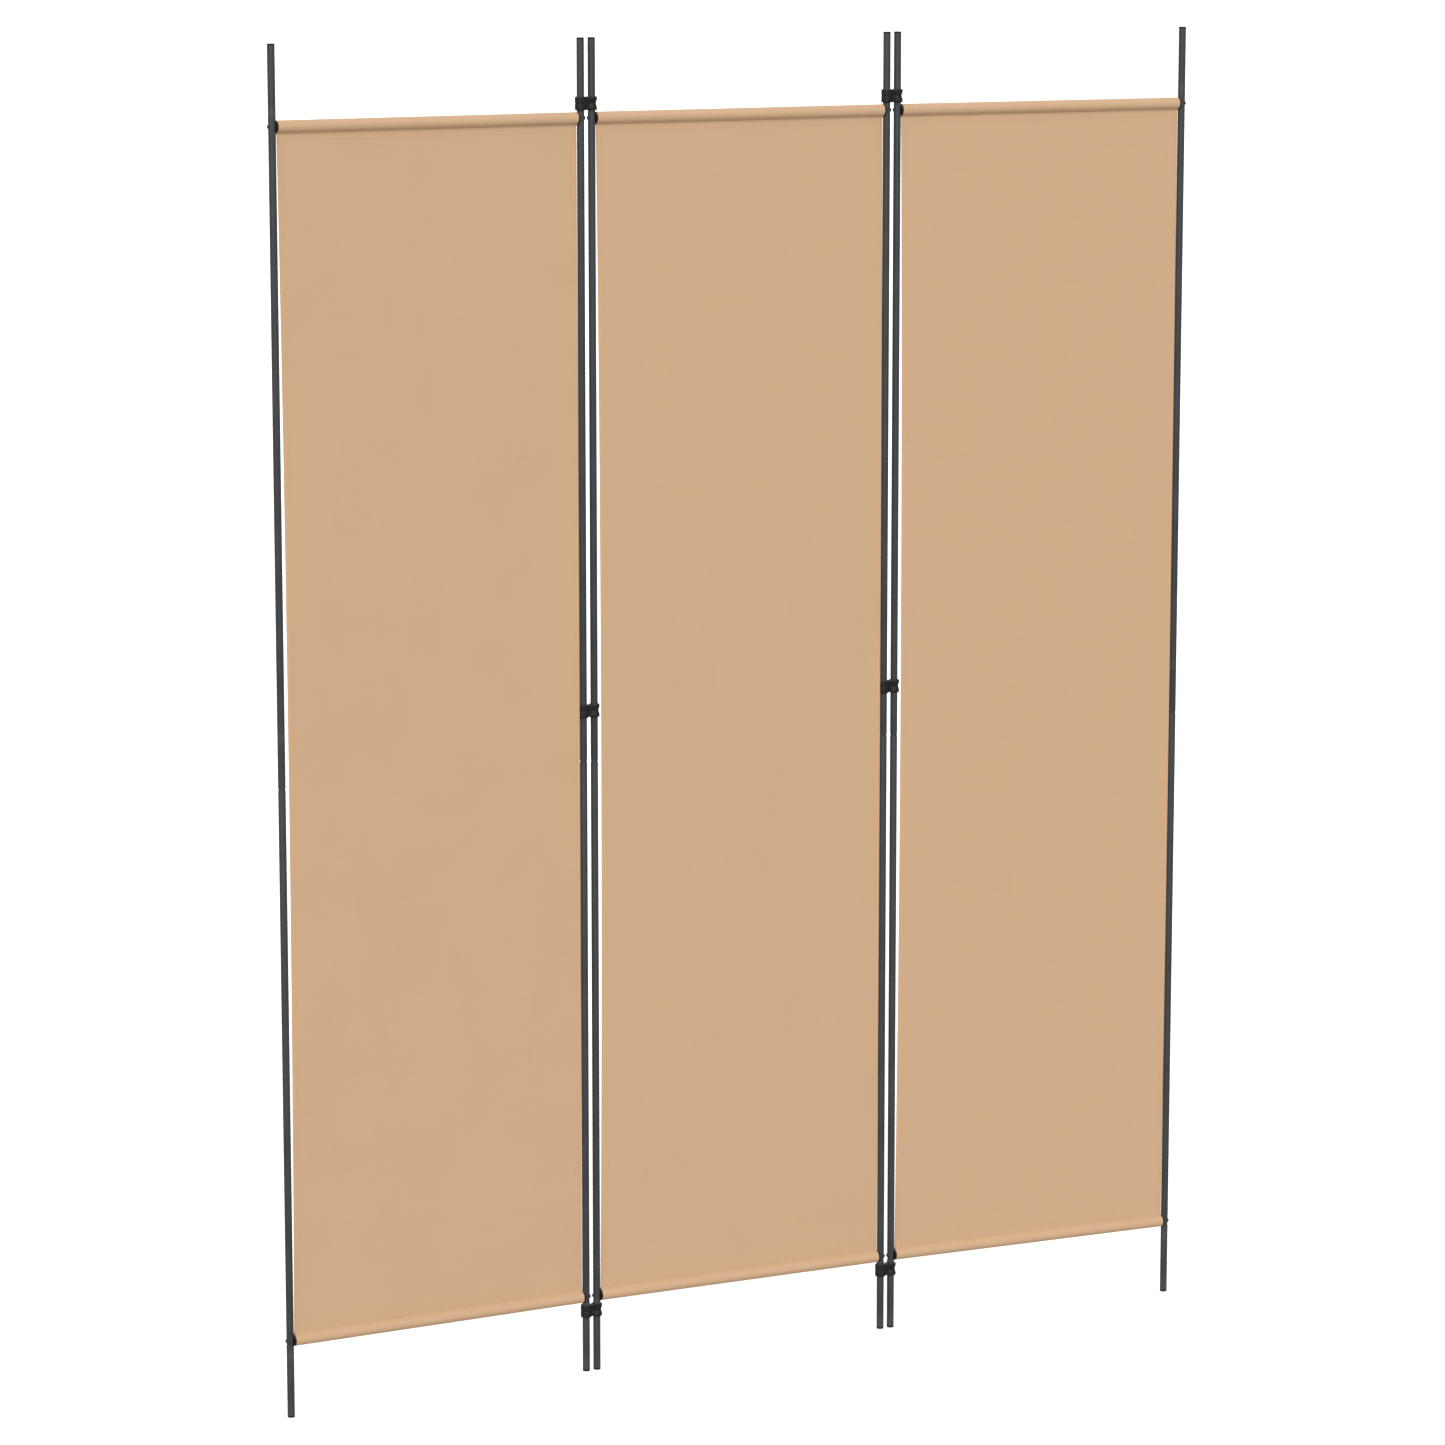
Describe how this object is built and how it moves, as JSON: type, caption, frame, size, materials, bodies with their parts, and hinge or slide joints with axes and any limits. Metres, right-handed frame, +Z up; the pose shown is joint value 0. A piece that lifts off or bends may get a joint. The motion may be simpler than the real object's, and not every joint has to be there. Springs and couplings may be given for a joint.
{
  "type": "folding room divider screen",
  "caption": "Free-standing folding screen: tall cloth panels stretched on slim round-tube frames, with swivelling clips that join neighbouring posts.",
  "frame": {"origin": "on the floor, midway between the centre panel's two posts, in the plane of their axes", "axes": "+X along the open screen to the viewer's right, +Y to the back (the front faces -Y), +Z up"},
  "size_m": [1.505, 0.0344, 2],
  "materials": {
    "frame_paint": "dark grey powder coat, low sheen",
    "black_plastic": "matt moulded plastic",
    "black_screws": "black coated steel, satin",
    "cloth": "matt plain-weave sand cloth"
  },
  "bodies": {
    "panel_centre": {"centre_panel_left_leg_tube": "frame_paint", "centre_panel_left_lower_tube": "frame_paint", "centre_panel_left_upper_tube": "frame_paint", "centre_panel_left_foot_cap": "black_plastic", "centre_panel_left_top_cap": "black_plastic", "centre_panel_right_leg_tube": "frame_paint", "centre_panel_right_lower_tube": "frame_paint", "centre_panel_right_upper_tube": "frame_paint", "centre_panel_right_foot_cap": "black_plastic", "centre_panel_right_top_cap": "black_plastic", "centre_panel_bottom_rail": "frame_paint", "centre_panel_bottom_rail_plugs": "black_plastic", "centre_panel_bottom_rail_screws": "black_screws", "centre_panel_top_rail": "frame_paint", "centre_panel_top_rail_plugs": "black_plastic", "centre_panel_top_rail_screws": "black_screws", "centre_panel_cloth": "cloth"},
    "clips_left": {"left_bottom_clip": "black_plastic", "left_middle_clip": "black_plastic", "left_top_clip": "black_plastic"},
    "panel_left": {"left_panel_left_leg_tube": "frame_paint", "left_panel_left_lower_tube": "frame_paint", "left_panel_left_upper_tube": "frame_paint", "left_panel_left_foot_cap": "black_plastic", "left_panel_left_top_cap": "black_plastic", "left_panel_right_leg_tube": "frame_paint", "left_panel_right_lower_tube": "frame_paint", "left_panel_right_upper_tube": "frame_paint", "left_panel_right_foot_cap": "black_plastic", "left_panel_right_top_cap": "black_plastic", "left_panel_bottom_rail": "frame_paint", "left_panel_bottom_rail_plugs": "black_plastic", "left_panel_bottom_rail_screws": "black_screws", "left_panel_top_rail": "frame_paint", "left_panel_top_rail_plugs": "black_plastic", "left_panel_top_rail_screws": "black_screws", "left_panel_cloth": "cloth"},
    "clips_right": {"right_bottom_clip": "black_plastic", "right_middle_clip": "black_plastic", "right_top_clip": "black_plastic"},
    "panel_right": {"right_panel_left_leg_tube": "frame_paint", "right_panel_left_lower_tube": "frame_paint", "right_panel_left_upper_tube": "frame_paint", "right_panel_left_foot_cap": "black_plastic", "right_panel_left_top_cap": "black_plastic", "right_panel_right_leg_tube": "frame_paint", "right_panel_right_lower_tube": "frame_paint", "right_panel_right_upper_tube": "frame_paint", "right_panel_right_foot_cap": "black_plastic", "right_panel_right_top_cap": "black_plastic", "right_panel_bottom_rail": "frame_paint", "right_panel_bottom_rail_plugs": "black_plastic", "right_panel_bottom_rail_screws": "black_screws", "right_panel_top_rail": "frame_paint", "right_panel_top_rail_plugs": "black_plastic", "right_panel_top_rail_screws": "black_screws", "right_panel_cloth": "cloth"}
  },
  "joints": [
    {"name": "left_clip_turn", "type": "hinge", "parent": "panel_centre", "child": "clips_left", "pos_m": [-0.2425, 0, 0], "axis": [0, 0, 1], "range_deg": [-31, 89]},
    {"name": "left_panel_fold", "type": "hinge", "parent": "clips_left", "child": "panel_left", "pos_m": [-0.2603, -0.00031, 0], "axis": [0, 0, 1], "range_deg": [-31, 89]},
    {"name": "right_clip_turn", "type": "hinge", "parent": "panel_centre", "child": "clips_right", "pos_m": [0.2425, 0, 0], "axis": [0, 0, 1], "range_deg": [-29, 91]},
    {"name": "right_panel_fold", "type": "hinge", "parent": "clips_right", "child": "panel_right", "pos_m": [0.2603, -0.00031, 0], "axis": [0, 0, 1], "range_deg": [-29, 91]}
  ]
}
